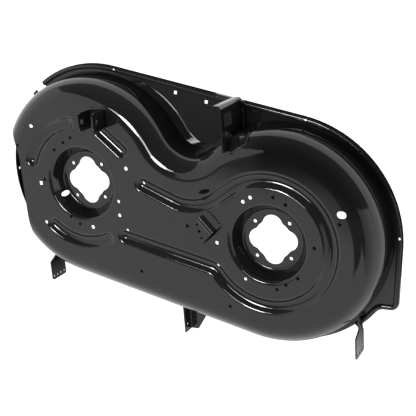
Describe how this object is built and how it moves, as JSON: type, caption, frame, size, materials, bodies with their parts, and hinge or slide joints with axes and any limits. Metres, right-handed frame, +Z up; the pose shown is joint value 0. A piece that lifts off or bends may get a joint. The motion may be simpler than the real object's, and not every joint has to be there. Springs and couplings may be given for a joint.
{
  "type": "lawn mower deck",
  "caption": "Twin-lobed drawn steel mower deck with sunk spindle seats, ring grooves, beaded rim, side discharge mouth and welded suspension and gauge wheel brackets.",
  "frame": {"origin": "centre of the discharge-side spindle seat, on its upper face", "axes": "+Z up along the spindle, +X across the machine towards the other spindle, +Y to the rear of the machine"},
  "size_m": [1.1198, 0.738, 0.169],
  "materials": {
    "black_powder_coat": "gloss black powder coat on drawn steel sheet"
  },
  "bodies": {
    "root": {"deck_shell": "black_powder_coat", "suspension_clevis": "black_powder_coat", "tall_suspension_bracket": "black_powder_coat", "near_gauge_wheel_bracket": "black_powder_coat", "far_gauge_wheel_bracket": "black_powder_coat", "front_hanger": "black_powder_coat", "saddle_plate": "black_powder_coat", "deflector_hinge_lugs": "black_powder_coat"}
  },
  "joints": []
}
